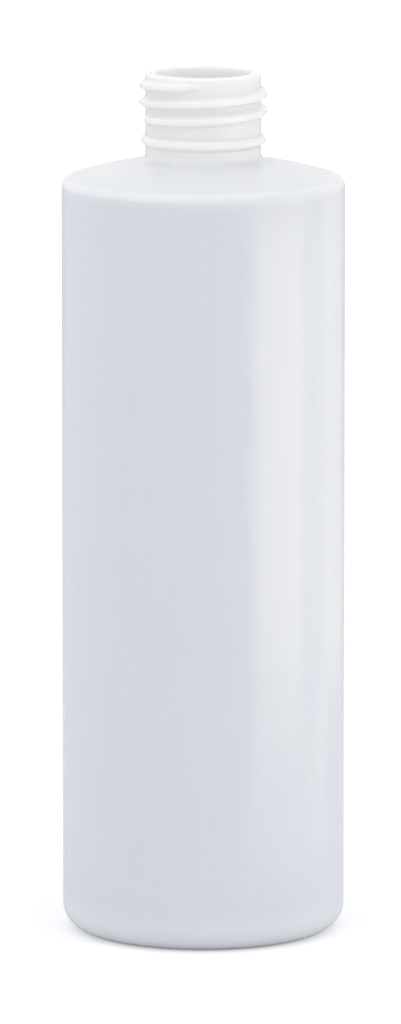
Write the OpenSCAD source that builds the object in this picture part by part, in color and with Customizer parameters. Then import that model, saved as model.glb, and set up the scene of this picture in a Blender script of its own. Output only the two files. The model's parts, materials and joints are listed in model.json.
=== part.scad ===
// Cylindrical blow-moulded bottle: a thin wall of one piece, open at a threaded neck.
// It stands on its foot ring. The origin is at the middle of the base, and +Z runs up the axis.
// The front is towards -Y, and the mould parts along the plane y = 0.

/* [Body] */
// Outside diameter of the body
body_d = 52.4; // [44:0.2:64]
// Height of the whole bottle, from the foot ring to the rim
total_h = 160.4; // [120:0.2:220]
// Thickness of the blown wall in the body, the shoulder and the base
wall_t = 0.9; // [0.6:0.1:1.3]

/* [Base] */
// Radius of the heel, between the side wall and the foot ring
heel_r = 4.8; // [2.4:0.2:8]
// Width of the flat foot ring
foot_w = 2.4; // [1:0.2:5]
// Radius between the foot ring and the recess inside it
foot_r = 2.5; // [1.6:0.1:5]
// Height of the middle of the recess above the foot ring
push_up_h = 2.6; // [1.2:0.2:5]
// Length of the pinch-off weld across the recess
pinch_l = 24; // [10:1:30]
// Width of the pinch-off weld
pinch_w = 0.8; // [0.4:0.1:2]
// Height that the pinch-off weld stands out of the recess
pinch_h = 0.45; // [0.2:0.05:0.7]

/* [Shoulder] */
// Radius of the spherical shoulder
dome_r = 82; // [50:1:160]
// Radius of the corner between the side wall and the shoulder
corner_r = 1.8; // [1.4:0.1:8]

/* [Neck] */
// Outside diameter of the neck, between the turns of the thread
neck_d = 21.5; // [20:0.1:22.4]
// Diameter of the mouth's bore
mouth_d = 17.6; // [13:0.1:19]
// Height of the neck, from the shoulder to the rim
neck_h = 16.2; // [14:0.1:22]
// Radius of the hollow where the neck rises from the shoulder
root_r = 1.2; // [0.6:0.1:2.4]
// Radius inside, where the bore opens into the shoulder
throat_r = 1.8; // [0.8:0.1:3]
// Radius of the rim's outer edge
rim_out_r = 0.5; // [0.2:0.05:0.8]
// Radius of the rim's inner edge
rim_in_r = 0.35; // [0.2:0.05:0.8]
// Diameter of the bead below the thread
bead_d = 23.1; // [22.6:0.1:25]
// Height of the bead along the neck
bead_w = 1.9; // [1:0.1:3]
// Height of the middle of the bead above the shoulder
bead_up = 3.8; // [3:0.1:4.6]

/* [Thread] */
// Diameter over the thread
thread_d = 23.7; // [22.8:0.1:24.4]
// Rise of the thread in one turn
thread_pitch = 3.175; // [2.975:0.05:3.775]
// Width of the thread's ridge where it leaves the neck
thread_w = 2.1; // [1.9:0.05:2.3]
// Slope of the ridge's flanks, measured from a level plane
thread_flank = 30; // [10:1:35]
// Bevel along both edges of the ridge's crest
thread_bevel = 0.22; // [0.1:0.02:0.3]
// Depth of the middle of the ridge below the rim, at its upper end
thread_top = 1.4; // [1.2:0.05:2]
// Turns of the thread, with the run-outs at both ends
thread_turns = 2.3; // [1:0.05:2.5]
// Bearing of the ridge's upper end, where 270 is the front
thread_bearing = 280; // [0:5:355]
// Turn, in degrees, over which the ridge fades at each end
thread_fade = 40; // [15:5:90]

/* [Hidden] */

// Furthest that a chord may lie from its arc
chord_tol = 0.01;
// Sides of the round forms
round_fn = 120;
// Turn between two sections of the thread
thread_step = 7.5;
// Depth that the thread's foot is set into the neck
thread_sink = 0.6;
// Depth below the neck's face at which the ridge starts and ends
thread_dip = 0.25;

body_r = body_d / 2;
neck_r = neck_d / 2;
mouth_r = mouth_d / 2;

// The shoulder is a sphere about the axis that meets the neck at root_z
root_z = total_h - neck_h;
dome_z = root_z - sqrt(pow(dome_r, 2) - pow(neck_r, 2));
// The corner's arc touches the side wall and the sphere
corner_x = body_r - corner_r;
corner_a = acos(corner_x / (dome_r - corner_r));
corner_z = dome_z + (dome_r - corner_r) * sin(corner_a);

// The recess is a sphere about the axis that touches the foot's inner arc
heel_x = body_r - heel_r;
foot_x = heel_x - foot_w;
recess_r = (pow(foot_x, 2) + pow(foot_r - push_up_h, 2) - pow(foot_r, 2)) / (2 * push_up_h);
recess_z = push_up_h - recess_r;
recess_a = asin(foot_x / (recess_r + foot_r));

bead_h = bead_d / 2 - neck_r;
bead_r = (pow(bead_h, 2) + pow(bead_w / 2, 2)) / (2 * bead_h);
bead_a = asin(bead_w / 2 / bead_r);
bead_z = root_z + bead_up;

thread_h = thread_d / 2 - neck_r;
crest_w = thread_w - 2 * thread_h * tan(thread_flank);
thread_sweep = thread_turns * 360;
thread_n = ceil(thread_sweep / thread_step);

// Points on the arc of radius r about c, from angle a0 to a1. The last one is left out
// where the next arc starts at it.
function arc(c, r, a0, a1, with_last = true) =
    let (n = max(2, ceil(abs(a1 - a0) / (2 * acos(1 - chord_tol / r)))))
    [for (i = [0 : with_last ? n : n - 1])
        let (a = a0 + (a1 - a0) * i / n)
        c + r * [cos(a), sin(a)]];

function reversed(points) = [for (i = [len(points) - 1 : -1 : 0]) points[i]];

// Half section of the blown wall at depth t inside its outer face, from the middle of the
// base to the foot of a neck of radius throat, with a fillet between shoulder and neck
function wall_line(t, throat, fillet) =
    let (
        fillet_x = throat + fillet,
        neck_a = acos(fillet_x / (dome_r - t + fillet)),
        fillet_z = dome_z + (dome_r - t + fillet) * sin(neck_a)
    )
    concat(
        arc([0, recess_z], recess_r + t, 90, 90 - recess_a, false),
        arc([foot_x, foot_r], foot_r - t, 270 - recess_a, 270),
        arc([heel_x, heel_r], heel_r - t, 270, 360),
        arc([corner_x, corner_z], corner_r - t, 0, corner_a, false),
        arc([0, dome_z], dome_r - t, corner_a, neck_a, false),
        arc([fillet_x, fillet_z], fillet, neck_a + 180, 180)
    );

// Half section of the bead and of the rim, from the neck's outer face to the bore
function neck_line() =
    concat(
        arc([neck_r + bead_h - bead_r, bead_z], bead_r, -bead_a, bead_a),
        arc([neck_r - rim_out_r, total_h - rim_out_r], rim_out_r, 0, 90),
        arc([mouth_r + rim_in_r, total_h - rim_in_r], rim_in_r, 90, 180)
    );

// Height of the ridge at a turn of a degrees from its lower end, as a share of the full height
function ridge_share(a) =
    let (end = min(1, min(a, thread_sweep - a) / thread_fade))
    (1 - cos(180 * end)) / 2;

// Section of the ridge, as distance from the axis and height about its middle
function ridge_section(share) =
    let (
        crest = neck_r - thread_dip + (thread_h + thread_dip) * share,
        foot = neck_r - thread_sink,
        half = crest_w / 2,
        slope = tan(thread_flank),
        foot_half = half + (crest - foot) * slope,
        edge_half = half + thread_bevel * slope,
        top_half = half - thread_bevel / 2
    )
    [
        [foot, -foot_half],
        [crest - thread_bevel, -edge_half],
        [crest, -top_half],
        [crest, top_half],
        [crest - thread_bevel, edge_half],
        [foot, foot_half]
    ];

// The blown wall with its neck, turned about the axis
module shell() {
    rotate_extrude($fn = round_fn)
        polygon(concat(
            wall_line(0, neck_r, root_r),
            neck_line(),
            reversed(wall_line(wall_t, mouth_r, throat_r))
        ));
}

// The right-hand thread, swept from its lower end up to its upper end
module thread_ridge() {
    sections = [for (i = [0 : thread_n])
        let (
            a = thread_sweep * i / thread_n,
            bearing = thread_bearing - thread_sweep + a,
            z = total_h - thread_top - thread_pitch * (thread_sweep - a) / 360
        )
        [for (p = ridge_section(ridge_share(a)))
            [p.x * cos(bearing), p.x * sin(bearing), z + p.y]]];
    k = len(sections[0]);
    sides = [for (i = [0 : thread_n - 1], j = [0 : k - 1])
        let (a = i * k + j, b = i * k + (j + 1) % k)
        each [[a, b, a + k], [b, b + k, a + k]]];
    lower_end = [for (j = [k - 1 : -1 : 0]) j];
    upper_end = [for (j = [0 : k - 1]) thread_n * k + j];
    polyhedron(
        points = [for (s = sections) each s],
        faces = concat(sides, [lower_end, upper_end])
    );
}

// The weld across the recess, where the mould closed the tube of soft plastic
module pinch_weld() {
    half_a = asin(pinch_l / 2 / recess_r);
    rotate([90, 0, 0])
        linear_extrude(height = pinch_w, center = true)
            polygon(concat(
                arc([0, recess_z], recess_r - pinch_h, 90 - half_a, 90 + half_a),
                arc([0, recess_z], recess_r + wall_t / 2, 90 + half_a, 90 - half_a)
            ));
}

// The whole bottle, one moulding
module bottle() {
    color([0.9, 0.92, 0.94])
        union() {
            shell();
            thread_ridge();
            pinch_weld();
        }
}

bottle();
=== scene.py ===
import json
import math
import bpy
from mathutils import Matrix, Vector


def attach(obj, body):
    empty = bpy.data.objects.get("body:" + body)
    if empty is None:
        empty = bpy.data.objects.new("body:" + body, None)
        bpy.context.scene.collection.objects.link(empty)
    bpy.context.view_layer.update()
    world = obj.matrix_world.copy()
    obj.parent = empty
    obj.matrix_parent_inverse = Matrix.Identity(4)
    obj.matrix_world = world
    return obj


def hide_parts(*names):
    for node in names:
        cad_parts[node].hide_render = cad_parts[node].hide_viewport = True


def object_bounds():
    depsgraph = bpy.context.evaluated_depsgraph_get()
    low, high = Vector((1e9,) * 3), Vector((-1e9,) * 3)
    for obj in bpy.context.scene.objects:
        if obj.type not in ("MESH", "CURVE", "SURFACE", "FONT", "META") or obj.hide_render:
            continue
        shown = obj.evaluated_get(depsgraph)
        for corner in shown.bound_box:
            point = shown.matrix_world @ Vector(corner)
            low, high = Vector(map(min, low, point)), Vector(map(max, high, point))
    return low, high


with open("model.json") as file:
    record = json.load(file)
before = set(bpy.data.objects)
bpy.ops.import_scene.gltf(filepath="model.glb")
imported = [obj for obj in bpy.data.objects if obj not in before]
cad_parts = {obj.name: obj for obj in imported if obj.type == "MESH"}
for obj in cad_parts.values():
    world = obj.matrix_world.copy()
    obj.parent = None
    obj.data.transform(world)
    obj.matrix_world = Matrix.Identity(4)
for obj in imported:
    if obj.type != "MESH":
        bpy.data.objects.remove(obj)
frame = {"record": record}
cadLow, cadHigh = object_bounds()
mm = 0.001
print("frame loaded, box in mm:", [round(v / mm, 2) for v in (*cadLow, *cadHigh)])

# the standing height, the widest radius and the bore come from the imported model
bodyRadius = (cadHigh.x - cadLow.x) / 2
rimHeight = cadHigh.z
mounts = {m["name"]: m for m in frame["record"]["mounts"]}
mouthRadius = mounts["mouth"]["dims"]["r_mm"] * mm

bottle = {
    "wall": 0.9 * mm,
    "heelRadius": 4.8 * mm,
    "footWidth": 2.4 * mm,
    "footRadius": 2.5 * mm,
    "pushUp": 2.6 * mm,
    "domeRadius": 82 * mm,
    "cornerRadius": 1.8 * mm,
    "neckRadius": 10.75 * mm,
    "neckHeight": 16.2 * mm,
    "rootRadius": 1.2 * mm,
    "throatRadius": 1.8 * mm,
    "rimOuter": 0.5 * mm,
    "rimInner": 0.35 * mm,
    "beadRadius": 11.55 * mm,   # out to the top of the bead
    "beadWidth": 1.9 * mm,
    "beadUp": 3.8 * mm,         # above the foot of the neck
    "sides": 264,               # faces round the bottle
    "arcTurn": 6,               # degrees between two rings on a small round edge
    "recessRingTurn": 0.8,      # and on the recess, the shoulder, the rim and the lip
    "domeRingTurn": 0.6,
    "rimRingTurn": 9,
    "lipRingTurn": 12,
    "wallRing": 8 * mm,         # distance between two rings on the plain wall
    "rootRing": 0.48 * mm,      # under the bead
    "neckRing": 0.12 * mm,      # where the thread stands
    "rimRing": 0.36 * mm,       # across the rim
    "boreRing": 0.72 * mm,      # down the bore
    "mergeGap": 0.002 * mm,     # points nearer than this are one
}

thread = {
    "Thread Height": 1.1 * mm,
    "Pitch": 3.175 * mm,
    "Ridge Width": 2.1 * mm,
    "Flank": math.radians(30),
    "Edge Round": 0.16 * mm,
    "Top Height": rimHeight - 1.4 * mm,   # middle of the ridge at its upper end
    "Turns": 2.3,
    "Bearing": math.radians(280),         # of the upper end, where 270 is the front
    "Fade": 40 / 360,                     # share of a turn over which each end runs out
    "Dip": 0.3,                           # each end dips below the neck's face, by this share of the height
}

weld = {
    "Weld Height": 0.45 * mm,
    "Weld Width": 0.64 * mm,    # this and the length are at half the height
    "Weld Length": 24 * mm,
    "Weld Side": 0.24 * mm,     # half the width of the slope on each side
    "Weld End": 0.64 * mm,      # and at each end
}


def arc(centre, radius, start, end, turn=bottle["arcTurn"]):
    # rings on a round edge, as distance from the axis and height
    count = max(3, math.ceil(abs(end - start) / turn))
    angles = [math.radians(start + (end - start) * i / count) for i in range(count + 1)]
    return [(centre[0] + radius * math.cos(a), centre[1] + radius * math.sin(a)) for a in angles]


def straight(start, end, step):
    # rings between two points, with both of them left out
    count = max(1, math.ceil(math.dist(start, end) / step))
    return [(start[0] + (end[0] - start[0]) * i / count, start[1] + (end[1] - start[1]) * i / count)
            for i in range(1, count)]


def blownWall(depth, throat, fillet):
    # half section from the middle of the base up to the neck, at a depth inside the outer face
    b = bottle
    root = rimHeight - b["neckHeight"]
    domeFoot = root - math.sqrt(b["domeRadius"] ** 2 - b["neckRadius"] ** 2)
    cornerX = bodyRadius - b["cornerRadius"]
    cornerTurn = math.degrees(math.acos(cornerX / (b["domeRadius"] - b["cornerRadius"])))
    cornerZ = domeFoot + (b["domeRadius"] - b["cornerRadius"]) * math.sin(math.radians(cornerTurn))
    heelX = bodyRadius - b["heelRadius"]
    footX = heelX - b["footWidth"]
    rise = b["pushUp"]
    recess = (footX ** 2 + (b["footRadius"] - rise) ** 2 - b["footRadius"] ** 2) / (2 * rise)
    recessTurn = math.degrees(math.asin(footX / (recess + b["footRadius"])))
    dome = b["domeRadius"] - depth
    neckTurn = math.degrees(math.acos((throat + fillet) / (dome + fillet)))
    filletZ = domeFoot + (dome + fillet) * math.sin(math.radians(neckTurn))
    heel = arc((heelX, b["heelRadius"]), b["heelRadius"] - depth, 270, 360)
    corner = arc((cornerX, cornerZ), b["cornerRadius"] - depth, 0, cornerTurn)
    return (
        arc((0, rise - recess), recess + depth, 90, 90 - recessTurn, b["recessRingTurn"])[:-1]
        + arc((footX, b["footRadius"]), b["footRadius"] - depth, 270 - recessTurn, 270)
        + heel
        + straight(heel[-1], corner[0], b["wallRing"])
        + corner[:-1]
        + arc((0, domeFoot), dome, cornerTurn, neckTurn, b["domeRingTurn"])[:-1]
        + arc((throat + fillet, filletZ), fillet, neckTurn + 180, 180)
    )


def halfSection():
    # the whole outline, with the zones where the thread and the weld stand marked on it
    b = bottle
    outer = blownWall(0, b["neckRadius"], b["rootRadius"])
    beadTall = b["beadRadius"] - b["neckRadius"]
    beadCurve = (beadTall ** 2 + (b["beadWidth"] / 2) ** 2) / (2 * beadTall)
    beadTurn = math.degrees(math.asin(b["beadWidth"] / 2 / beadCurve))
    beadZ = rimHeight - b["neckHeight"] + b["beadUp"]
    bead = arc((b["beadRadius"] - beadCurve, beadZ), beadCurve, -beadTurn, beadTurn)
    rimCentre = (b["neckRadius"] - b["rimOuter"], rimHeight - b["rimOuter"])
    rim = arc(rimCentre, b["rimOuter"], 0, 90, b["rimRingTurn"])
    lipCentre = (mouthRadius + b["rimInner"], rimHeight - b["rimInner"])
    lip = arc(lipCentre, b["rimInner"], 90, 180, b["lipRingTurn"])
    inner = blownWall(b["wall"], mouthRadius, b["throatRadius"])[::-1]
    threaded = straight(bead[-1], rim[0], b["neckRing"])
    below = outer + straight(outer[-1], bead[0], b["rootRing"]) + bead
    above = (
        rim
        + straight(rim[-1], lip[0], b["rimRing"])
        + lip
        + straight(lip[-1], inner[0], b["boreRing"])
        + inner
    )
    line = below + threaded + above
    threadZone = [0] * len(below) + [1] * len(threaded) + [0] * len(above)
    reach = weld["Weld Length"] / 2 + weld["Weld End"]
    recessRings = next(i for i, (r, z) in enumerate(outer) if r > reach)
    weldZone = [1] * recessRings + [0] * (len(line) - recessRings)
    return line, threadZone, weldZone


def addInput(tree, name, kind, value=None):
    socket = tree.interface.new_socket(name, in_out="INPUT", socket_type=kind)
    if value is not None:
        socket.default_value = value


def math2(tree, operation, a, b=None, c=None):
    # one Math node, fed by sockets or by plain numbers
    node = tree.nodes.new("ShaderNodeMath")
    node.operation = operation
    for slot, value in zip(node.inputs, (a, b, c)):
        if value is None:
            continue
        if isinstance(value, bpy.types.NodeSocket):
            tree.links.new(value, slot)
        else:
            slot.default_value = value
    return node.outputs[0]


def lathe():
    # turns a half section round the axis, and raises the thread and the weld on it
    tree = bpy.data.node_groups.new("bottleLathe", "GeometryNodeTree")
    addInput(tree, "Half Section", "NodeSocketGeometry")
    addInput(tree, "Sides", "NodeSocketInt", bottle["sides"])
    for name, value in {**thread, **weld}.items():
        addInput(tree, name, "NodeSocketFloat", value)
    addInput(tree, "Material", "NodeSocketMaterial")
    tree.interface.new_socket("Bottle", in_out="OUTPUT", socket_type="NodeSocketGeometry")
    new, link = tree.nodes.new, tree.links.new
    given = new("NodeGroupInput").outputs

    def calc(operation, a, b=None, c=None):
        return math2(tree, operation, a, b, c)

    # a sheet with one row for each point of the half section
    size = new("GeometryNodeAttributeDomainSize")
    link(given["Half Section"], size.inputs[0])
    around = calc("ADD", given["Sides"], 1)
    sheet = new("GeometryNodeMeshGrid")
    link(size.outputs["Point Count"], sheet.inputs["Vertices X"])
    link(around, sheet.inputs["Vertices Y"])
    index = new("GeometryNodeInputIndex").outputs[0]
    row = calc("FLOOR", calc("DIVIDE", calc("ADD", index, 0.5), around))
    column = calc("SUBTRACT", index, calc("MULTIPLY", row, around))
    angle = calc("MULTIPLY", calc("DIVIDE", column, given["Sides"]), 2 * math.pi)

    def sampled(kind, value):
        node = new("GeometryNodeSampleIndex")
        node.data_type = kind
        link(given["Half Section"], node.inputs["Geometry"])
        link(value, node.inputs["Value"])
        link(row, node.inputs["Index"])
        return node.outputs["Value"]

    def named(name):
        node = new("GeometryNodeInputNamedAttribute")
        node.data_type = "FLOAT"
        node.inputs["Name"].default_value = name
        return sampled("FLOAT", node.outputs["Attribute"])

    place = new("ShaderNodeSeparateXYZ")
    link(sampled("FLOAT_VECTOR", new("GeometryNodeInputPosition").outputs[0]), place.inputs[0])
    radius, height = place.outputs["X"], place.outputs["Z"]

    # turns down from the ridge's upper end, on the turn that passes nearest
    first = calc("FRACT", calc("DIVIDE", calc("SUBTRACT", given["Bearing"], angle), 2 * math.pi))
    depth = calc("DIVIDE", calc("SUBTRACT", given["Top Height"], height), given["Pitch"])
    passes = calc("MAXIMUM", calc("ROUND", calc("SUBTRACT", depth, first)), 0)
    turns = calc("ADD", first, passes)
    away = calc("MULTIPLY", calc("ABSOLUTE", calc("SUBTRACT", depth, turns)), given["Pitch"])
    toEnd = calc("MINIMUM", turns, calc("SUBTRACT", given["Turns"], turns))
    fade = new("ShaderNodeMapRange")
    fade.interpolation_type = "SMOOTHSTEP"
    link(toEnd, fade.inputs["Value"])
    link(given["Fade"], fade.inputs["From Max"])
    # the ridge has a flat crest, sloping flanks and rounded edges
    slope = calc("TANGENT", given["Flank"])
    crestHalf = calc("SUBTRACT", calc("MULTIPLY", given["Ridge Width"], 0.5),
                     calc("MULTIPLY", given["Thread Height"], slope))
    rise = calc("MULTIPLY", fade.outputs[0], calc("ADD", given["Dip"], 1))
    crest = calc("MULTIPLY", given["Thread Height"], calc("SUBTRACT", rise, given["Dip"]))
    flank = calc("SUBTRACT", crest, calc("DIVIDE", calc("SUBTRACT", away, crestHalf), slope))
    ridge = calc("SMOOTH_MIN", crest, flank, given["Edge Round"])
    ridge = calc("SMOOTH_MAX", ridge, 0, given["Edge Round"])
    raised = calc("MULTIPLY", ridge, named("threadZone"))

    across = calc("ADD", radius, raised)
    x = calc("MULTIPLY", across, calc("COSINE", angle))
    y = calc("MULTIPLY", across, calc("SINE", angle))

    def bump(value, half, soft):
        node = new("ShaderNodeMapRange")
        node.interpolation_type = "SMOOTHSTEP"
        link(calc("ABSOLUTE", value), node.inputs["Value"])
        link(calc("ADD", half, soft), node.inputs["From Min"])
        link(calc("SUBTRACT", half, soft), node.inputs["From Max"])
        return node.outputs[0]

    # the weld hangs below the recess, along the line where the mould parts
    acrossWeld = bump(y, calc("MULTIPLY", given["Weld Width"], 0.5), given["Weld Side"])
    alongWeld = bump(x, calc("MULTIPLY", given["Weld Length"], 0.5), given["Weld End"])
    hang = calc("MULTIPLY", calc("MULTIPLY", acrossWeld, alongWeld), named("weldZone"))
    z = calc("SUBTRACT", height, calc("MULTIPLY", hang, given["Weld Height"]))

    join = new("ShaderNodeCombineXYZ")
    for source, slot in zip((x, y, z), join.inputs):
        link(source, slot)
    move = new("GeometryNodeSetPosition")
    link(sheet.outputs["Mesh"], move.inputs["Geometry"])
    link(join.outputs[0], move.inputs["Position"])
    merge = new("GeometryNodeMergeByDistance")
    merge.inputs["Distance"].default_value = bottle["mergeGap"]
    smooth = new("GeometryNodeSetShadeSmooth")
    flip = new("GeometryNodeFlipFaces")
    real = new("GeometryNodeRealizeInstances")
    paint = new("GeometryNodeSetMaterial")
    link(given["Material"], paint.inputs["Material"])
    last = move
    for node in (merge, flip, smooth, real, paint):
        link(last.outputs[0], node.inputs["Mesh"] if "Mesh" in node.inputs else node.inputs["Geometry"])
        last = node
    link(last.outputs[0], new("NodeGroupOutput").inputs[0])
    return tree


plastic = {
    # colour at a height above the foot: the thin wall lets light through and looks a little blue
    "colourAndShoulderLight": (
        (0, (0.835, 0.860, 0.930, 1)),             # the heel and the base are thicker
        (3.5 * mm, (0.835, 0.860, 0.930, 1)),
        (8 * mm, (0.778, 0.808, 0.892, 1)),
        (134 * mm, (0.778, 0.808, 0.892, 1)),
        (138 * mm, (0.790, 0.805, 0.862, 1)),
        (141.5 * mm, (0.905, 0.905, 0.900, 1)),    # the shoulder is painted lighter: painted light that lifts the shade the neck casts on it
        (143.5 * mm, (0.905, 0.905, 0.900, 1)),
        (146 * mm, (0.815, 0.815, 0.812, 1)),      # the neck is thick and scatters the most by itself
    ),
    "cloudSize": 22 * mm,
    "cloudShare": 0.020,        # how much the clouds change the colour
    "dieLineSize": 1.3 * mm,    # faint lines that the die drew along the soft tube
    "dieLineShare": 0.012,
    "dieLineHeight": 0.004,     # this and the other heights of the relief are in mm
    "dieLineStretch": 0.015,
    "waveSize": 34 * mm,
    "waveStretch": 0.45,
    "waveHeight": 0.05,
    "grainSize": 0.40 * mm,
    "grainHeight": 0.0012,
    "noiseRoughness": 0.45,
    "paintedBoreLight": 0.11,          # painted light: the bore is painted brighter, as if more light reached it through the neck
    "boreEdge": (0.9 * mm, 0.2 * mm),    # beyond the bore's radius, where that starts and where it is full
    "boreHeights": (140 * mm, 142 * mm),
    "partingHalf": 0.13 * mm,   # half width of the line left where the two mould halves meet
    "partingHeight": 0.045,
    "roughness": 0.20,
    "roughnessSpread": 0.05,
    "rubRoughness": 0.05,       # added where bottles rub together, at the heel and at the corner
    # of each rubbed band, the middle height, the half width, and the half width where it is full
    "rubBands": ((5 * mm, 4 * mm, 1 * mm), (139 * mm, 3 * mm, 0.5 * mm)),
    "patchSize": 5.5 * mm,
    "patchStretch": 2.5,
    "patchSpread": 0.9,
    "ior": 1.54,
    "subsurface": 0.95,
    "scatterRadius": (1.15, 1.05, 0.95),
    "scatterScale": 2.5 * mm,
    "sheen": 0.12,
    "sheenRoughness": 0.45,
}


def naturalPolyethylene():
    # uncoloured polyethylene: milky and satin, with the marks of blow moulding on it
    material = bpy.data.materials.new("naturalPolyethylene")
    material.use_nodes = True
    tree = material.node_tree
    new, link = tree.nodes.new, tree.links.new
    shader = tree.nodes["Principled BSDF"]
    f = plastic

    def calc(operation, a, b=None, c=None):
        return math2(tree, operation, a, b, c)

    def noise(vector, size, detail):
        node = new("ShaderNodeTexNoise")
        link(vector, node.inputs["Vector"])
        node.inputs["Scale"].default_value = 1 / size
        node.inputs["Detail"].default_value = detail
        node.inputs["Roughness"].default_value = f["noiseRoughness"]
        return calc("MULTIPLY_ADD", node.outputs["Fac"], 2, -1)

    def stretched(vector, scale):
        node = new("ShaderNodeVectorMath")
        node.operation = "MULTIPLY"
        link(vector, node.inputs[0])
        node.inputs[1].default_value = scale
        return node.outputs[0]

    def ramp(value, low, high):
        node = new("ShaderNodeMapRange")
        node.interpolation_type = "SMOOTHSTEP"
        link(value, node.inputs["Value"])
        node.inputs["From Min"].default_value = low
        node.inputs["From Max"].default_value = high
        return node.outputs[0]

    point = new("ShaderNodeTexCoord").outputs["Object"]
    parts = new("ShaderNodeSeparateXYZ")
    link(point, parts.inputs[0])
    height = parts.outputs["Z"]

    # the same place on a tube of the body's radius, so that the die lines run up the wall and in
    # to the neck
    outward = new("ShaderNodeVectorMath")
    outward.operation = "NORMALIZE"
    link(stretched(point, (1, 1, 0)), outward.inputs[0])
    onTube = new("ShaderNodeVectorMath")
    onTube.operation = "MULTIPLY_ADD"
    link(outward.outputs[0], onTube.inputs[0])
    onTube.inputs[1].default_value = (bodyRadius, bodyRadius, 0)
    link(stretched(point, (0, 0, f["dieLineStretch"])), onTube.inputs[2])

    clouds = noise(point, f["cloudSize"], 3)
    dieLines = noise(onTube.outputs[0], f["dieLineSize"], 2)
    waves = noise(stretched(point, (1, 1, f["waveStretch"])), f["waveSize"], 1)
    grain = noise(point, f["grainSize"], 2)
    patches = noise(stretched(point, (1, 1, f["patchStretch"])), f["patchSize"], 4)

    # colour by height, with clouds and die lines in it, painted light on the shoulder and painted light in
    # the bore
    byHeight = new("ShaderNodeValToRGB")
    link(calc("DIVIDE", height, rimHeight), byHeight.inputs["Fac"])
    stops = byHeight.color_ramp.elements
    while len(stops) < len(f["colourAndShoulderLight"]):
        stops.new(1)
    for stop, (at, colour) in zip(stops, f["colourAndShoulderLight"]):
        stop.position, stop.color = at / rimHeight, colour
    fromAxis = new("ShaderNodeVectorMath")
    fromAxis.operation = "LENGTH"
    link(stretched(point, (1, 1, 0)), fromAxis.inputs[0])
    edge = [mouthRadius + distance for distance in f["boreEdge"]]
    # painted light: a mask of the bore's inside, where the colour is painted brighter
    boreLightMask = calc("MULTIPLY", ramp(fromAxis.outputs["Value"], *edge), ramp(height, *f["boreHeights"]))
    shade = calc("MULTIPLY_ADD", dieLines, f["dieLineShare"], 1)
    shade = calc("MULTIPLY_ADD", clouds, f["cloudShare"], shade)
    shade = calc("MULTIPLY_ADD", boreLightMask, f["paintedBoreLight"], shade)
    tint = new("ShaderNodeVectorMath")
    tint.operation = "SCALE"
    link(byHeight.outputs["Color"], tint.inputs[0])
    link(shade, tint.inputs["Scale"])
    link(tint.outputs[0], shader.inputs["Base Color"])

    # gloss: satin, duller where bottles rub together in the box
    atHeel, atCorner = (
        ramp(calc("ABSOLUTE", calc("SUBTRACT", height, middle)), half, full)
        for middle, half, full in f["rubBands"]
    )
    worn = ramp(patches, -f["patchSpread"], f["patchSpread"])
    rubbed = calc("MULTIPLY", calc("MAXIMUM", atHeel, atCorner), worn)
    dull = calc("MULTIPLY_ADD", patches, f["roughnessSpread"], f["roughness"])
    link(calc("MULTIPLY_ADD", rubbed, f["rubRoughness"], dull), shader.inputs["Roughness"])

    # relief: slow waves, die lines, fine grain and the parting line
    parting = ramp(calc("ABSOLUTE", parts.outputs["Y"]), f["partingHalf"], 0)
    relief = calc("MULTIPLY", waves, f["waveHeight"])
    relief = calc("MULTIPLY_ADD", dieLines, f["dieLineHeight"], relief)
    relief = calc("MULTIPLY_ADD", grain, f["grainHeight"], relief)
    relief = calc("MULTIPLY_ADD", parting, f["partingHeight"], relief)
    bump = new("ShaderNodeBump")
    bump.inputs["Strength"].default_value = 1
    bump.inputs["Distance"].default_value = mm
    link(relief, bump.inputs["Height"])
    link(bump.outputs[0], shader.inputs["Normal"])

    shader.inputs["IOR"].default_value = f["ior"]
    shader.inputs["Subsurface Weight"].default_value = f["subsurface"]
    shader.inputs["Subsurface Radius"].default_value = f["scatterRadius"]
    shader.inputs["Subsurface Scale"].default_value = f["scatterScale"]
    shader.inputs["Sheen Weight"].default_value = f["sheen"]
    shader.inputs["Sheen Roughness"].default_value = f["sheenRoughness"]
    return material


def buildBottle():
    line, threadZone, weldZone = halfSection()
    mesh = bpy.data.meshes.new("halfSection")
    mesh.from_pydata([(r, 0, z) for r, z in line], [(i, i + 1) for i in range(len(line) - 1)], [])
    for name, values in (("threadZone", threadZone), ("weldZone", weldZone)):
        mesh.attributes.new(name, "FLOAT", "POINT").data.foreach_set("value", values)
    section = bpy.data.objects.new("bottleSection", mesh)
    bpy.context.scene.collection.objects.link(section)
    tree = lathe()
    turned = section.modifiers.new("lathe", "NODES")
    turned.node_group = tree
    for socket in tree.interface.items_tree:
        if socket.in_out == "INPUT" and socket.name == "Material":
            turned[socket.identifier] = naturalPolyethylene()
    seen = section.evaluated_get(bpy.context.evaluated_depsgraph_get())
    piece = bpy.data.objects.new("blownBottle", bpy.data.meshes.new_from_object(seen))
    section.modifiers.remove(turned)
    bpy.data.objects.remove(section)
    bpy.context.scene.collection.objects.link(piece)
    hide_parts("bottle")
    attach(piece, "root")
    print("bottle turned:", len(line), "rings,", len(piece.data.polygons), "faces")


camera = {
    "lens": 331.6,               # mm on a 36 mm sensor
    "away": 1.75,
    "down": math.radians(9.6),
    "aim": Vector((-0.52 * mm, 0, 78.25 * mm)),
}


def addCamera():
    data = bpy.data.cameras.new("camera")
    data.lens = camera["lens"]
    eye = bpy.data.objects.new("camera", data)
    back = Vector((0, -math.cos(camera["down"]), math.sin(camera["down"])))
    eye.location = camera["aim"] + back * camera["away"]
    eye.rotation_mode = "QUATERNION"
    eye.rotation_quaternion = (-back).to_track_quat("-Z", "Y")
    bpy.context.scene.collection.objects.link(eye)
    bpy.context.scene.camera = eye


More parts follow.
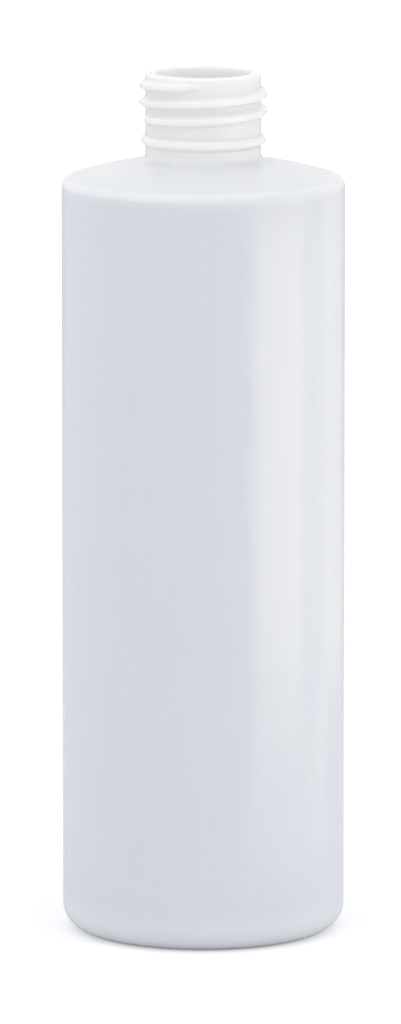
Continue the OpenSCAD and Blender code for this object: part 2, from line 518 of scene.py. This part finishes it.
studio = {
    "floorRadius": 6.0,
    # a hole that the foot hides lets light up to the base
    "floorHole": bodyRadius - bottle["heelRadius"] + 0.1 * mm,
    "floorSides": 96,
    "floorColour": (0.77, 0.77, 0.77, 1),
    "floorRoughness": 0.9,
    "floorLift": (0.30, 0.95),    # added for the camera alone, near the bottle and far from it
    "liftRange": (0.10, 1.50),    # distances from the bottle between which the lift grows
    "fill": 0.79,                 # world light on the bottle
    "fillColour": (0.96, 1.00, 1.08, 1),
    "lampColour": (1.08, 1.00, 0.86),
    "glossColour": (1.20, 1.00, 0.66),
    # bearing is from the camera towards the right and lift is above the horizon, both in degrees
    "lamps": [
        {"name": "topBox", "bearing": 0, "lift": 88, "away": 0.75, "wide": 0.9, "tall": 0.9,
         "power": 0.36},
        {"name": "leftFrontBox", "bearing": -50, "lift": 20, "away": 1.0, "wide": 0.6, "tall": 0.6,
         "power": 1.24},
        {"name": "leftHighBox", "bearing": -75, "lift": 45, "away": 0.8, "wide": 0.5, "tall": 0.4,
         "power": 0.34},
        {"name": "leftBackBox", "bearing": -118, "lift": 12, "away": 0.6, "wide": 0.7, "tall": 0.9,
         "power": 0.14},
        # from behind, the image of this one in the gloss would bleach the shoulder
        {"name": "rightFrontBox", "bearing": 52, "lift": 20, "away": 1.0, "wide": 0.4, "tall": 0.6,
         "power": 2.20, "inGloss": False},
        {"name": "rightCard", "bearing": 88, "lift": 0, "away": 0.26, "wide": 0.42, "tall": 0.11,
         "power": 0.50, "middle": 0.056},
        # three cards for the gloss alone: the left edge of the first draws the upright line right of
        # the middle, and the low one carries it on down to the heel
        {"name": "glossCard", "bearing": 62, "lift": 0, "away": 0.245, "wide": 0.21, "tall": 0.116,
         "power": 1.8, "middle": 0.059, "glossOnly": True},
        {"name": "rearGlossCard", "bearing": 116, "lift": 0, "away": 0.245, "wide": 0.29, "tall": 0.116,
         "power": 0.43, "middle": 0.059, "glossOnly": True},
        {"name": "lowGlossCard", "bearing": 72, "lift": 0, "away": 0.085, "wide": 0.13, "tall": 0.030,
         "power": 0.50, "middle": 0.0155, "glossOnly": True},
        # shines up through the hole in the floor, and so on the base alone
        {"name": "underBox", "bearing": -60, "lift": -20, "away": 0.3, "wide": 0.14, "tall": 0.14,
         "power": 8.0, "middle": 0},
    ],
}


def addFloor():
    count = studio["floorSides"]
    turns = [2 * math.pi * i / count for i in range(count)]
    rings = (studio["floorHole"], studio["floorRadius"])
    points = [(r * math.cos(a), r * math.sin(a), 0) for r in rings for a in turns]
    faces = [(i, i + count, (i + 1) % count + count, (i + 1) % count) for i in range(count)]
    mesh = bpy.data.meshes.new("floor")
    mesh.from_pydata(points, [], faces)
    floor = bpy.data.objects.new("floor", mesh)
    bpy.context.scene.collection.objects.link(floor)
    material = bpy.data.materials.new("floorPaper")
    material.use_nodes = True
    nodes, links = material.node_tree.nodes, material.node_tree.links
    shader = nodes["Principled BSDF"]
    shader.inputs["Base Color"].default_value = studio["floorColour"]
    shader.inputs["Roughness"].default_value = studio["floorRoughness"]
    shader.inputs["Specular IOR Level"].default_value = 0
    shader.inputs["Emission Color"].default_value = (1, 1, 1, 1)
    rays = nodes.new("ShaderNodeLightPath").outputs
    distance = nodes.new("ShaderNodeVectorMath")
    distance.operation = "LENGTH"
    links.new(nodes.new("ShaderNodeTexCoord").outputs["Object"], distance.inputs[0])
    lift = nodes.new("ShaderNodeMapRange")
    lift.interpolation_type = "SMOOTHSTEP"
    links.new(distance.outputs["Value"], lift.inputs["Value"])
    limits = studio["liftRange"] + studio["floorLift"]
    for name, value in zip(("From Min", "From Max", "To Min", "To Max"), limits):
        lift.inputs[name].default_value = value
    seen = math2(material.node_tree, "MULTIPLY", rays["Is Camera Ray"], lift.outputs[0])
    links.new(seen, shader.inputs["Emission Strength"])
    # seen from below it is clear, so that the base can be looked at
    clear = nodes.new("ShaderNodeBsdfTransparent")
    side = nodes.new("ShaderNodeMixShader")
    links.new(nodes.new("ShaderNodeNewGeometry").outputs["Backfacing"], side.inputs["Fac"])
    links.new(shader.outputs[0], side.inputs[1])
    links.new(clear.outputs[0], side.inputs[2])
    links.new(side.outputs[0], nodes["Material Output"].inputs["Surface"])
    mesh.materials.append(material)


def addWorld():
    world = bpy.data.worlds.new("studio")
    bpy.context.scene.world = world
    world.use_nodes = True
    nodes, links = world.node_tree.nodes, world.node_tree.links
    sky = nodes["Background"]
    rays = nodes.new("ShaderNodeLightPath").outputs
    white = math2(world.node_tree, "MAXIMUM", rays["Is Camera Ray"], rays["Is Transmission Ray"])
    white = math2(world.node_tree, "MAXIMUM", white, rays["Is Glossy Ray"])
    tint = nodes.new("ShaderNodeMix")
    tint.data_type = "RGBA"
    links.new(white, tint.inputs["Factor"])
    tint.inputs["A"].default_value = [c * studio["fill"] for c in studio["fillColour"]]
    tint.inputs["B"].default_value = (1, 1, 1, 1)
    links.new(tint.outputs["Result"], sky.inputs["Color"])


def addLamp(lamp):
    data = bpy.data.lights.new(lamp["name"], "AREA")
    data.shape = "RECTANGLE"
    data.size, data.size_y = lamp["wide"], lamp["tall"]
    data.energy = lamp["power"] * math.pi * lamp["wide"] * lamp["tall"]
    glossOnly = lamp.get("glossOnly", False)
    data.color = studio["glossColour"] if glossOnly else studio["lampColour"]
    bearing, lift = math.radians(lamp["bearing"]), math.radians(lamp["lift"])
    out = Vector((math.sin(bearing) * math.cos(lift), -math.cos(bearing) * math.cos(lift), math.sin(lift)))
    box = bpy.data.objects.new(lamp["name"], data)
    box.location = Vector((0, 0, lamp.get("middle", rimHeight / 2))) + out * lamp["away"]
    box.rotation_mode = "QUATERNION"
    box.rotation_quaternion = (-out).to_track_quat("-Z", "Y")
    box.visible_diffuse = box.visible_transmission = not glossOnly
    box.visible_glossy = lamp.get("inGloss", True)
    box.visible_camera = False
    bpy.context.scene.collection.objects.link(box)


def addStudio():
    addFloor()
    addWorld()
    for lamp in studio["lamps"]:
        addLamp(lamp)
    bpy.context.scene.view_settings.view_transform = "Standard"


addCamera()
buildBottle()
addStudio()
print("studio lit")
